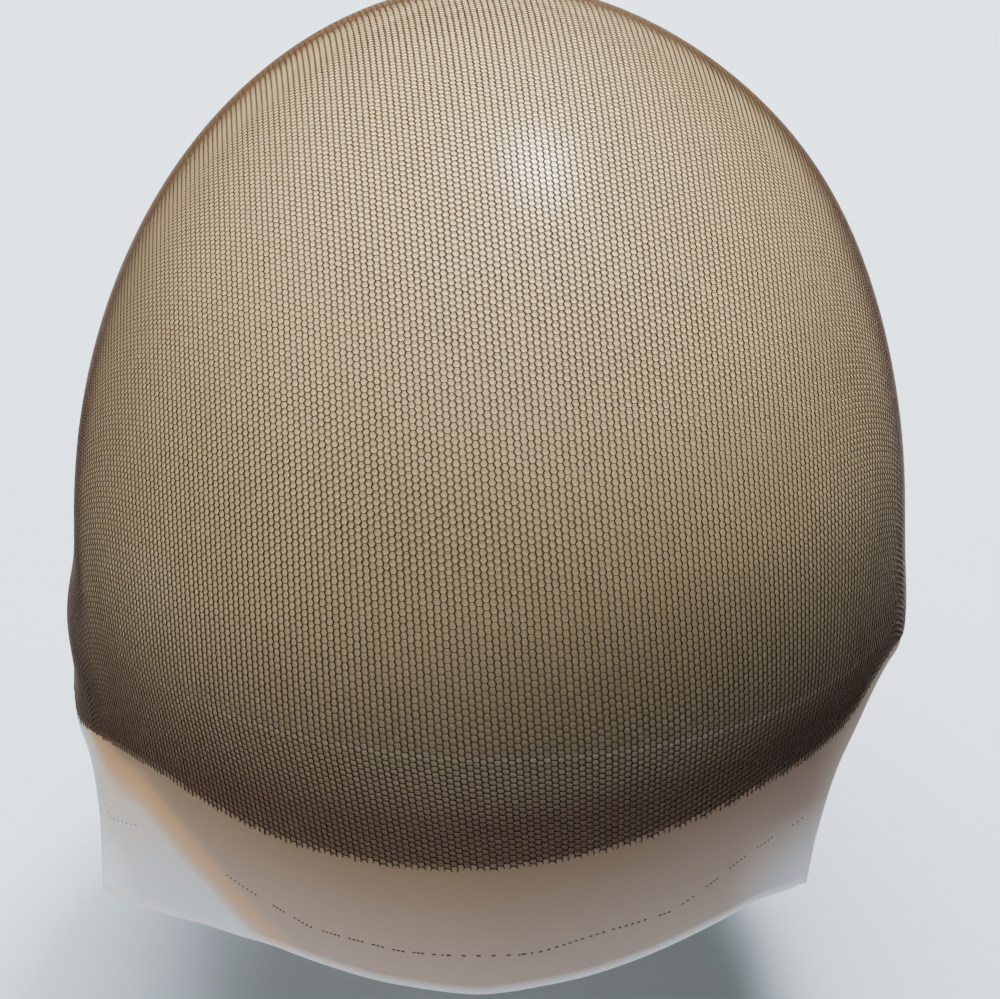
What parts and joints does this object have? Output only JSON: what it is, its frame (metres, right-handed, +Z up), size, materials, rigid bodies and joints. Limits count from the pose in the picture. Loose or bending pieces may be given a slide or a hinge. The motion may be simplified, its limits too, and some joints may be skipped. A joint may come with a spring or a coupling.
{
  "type": "lace wig base",
  "caption": "Full wig cap of fine dark hexagonal lace net over a thin pale film skin, with raw-cut edges and a film apron below the front hairline.",
  "frame": {"origin": "middle of the head opening, at the cap's widest level", "axes": "+Z up through the crown, -Y towards the forehead, +X to the right of someone who looks at the forehead"},
  "size_m": [0.1594, 0.1955, 0.1573],
  "materials": {
    "lace": "dark brown fine monofilament hexagonal net",
    "film": "thin smooth ivory film with a soft gloss"
  },
  "bodies": {
    "root": {"lace_net": "lace", "inner_film": "film"}
  },
  "joints": []
}
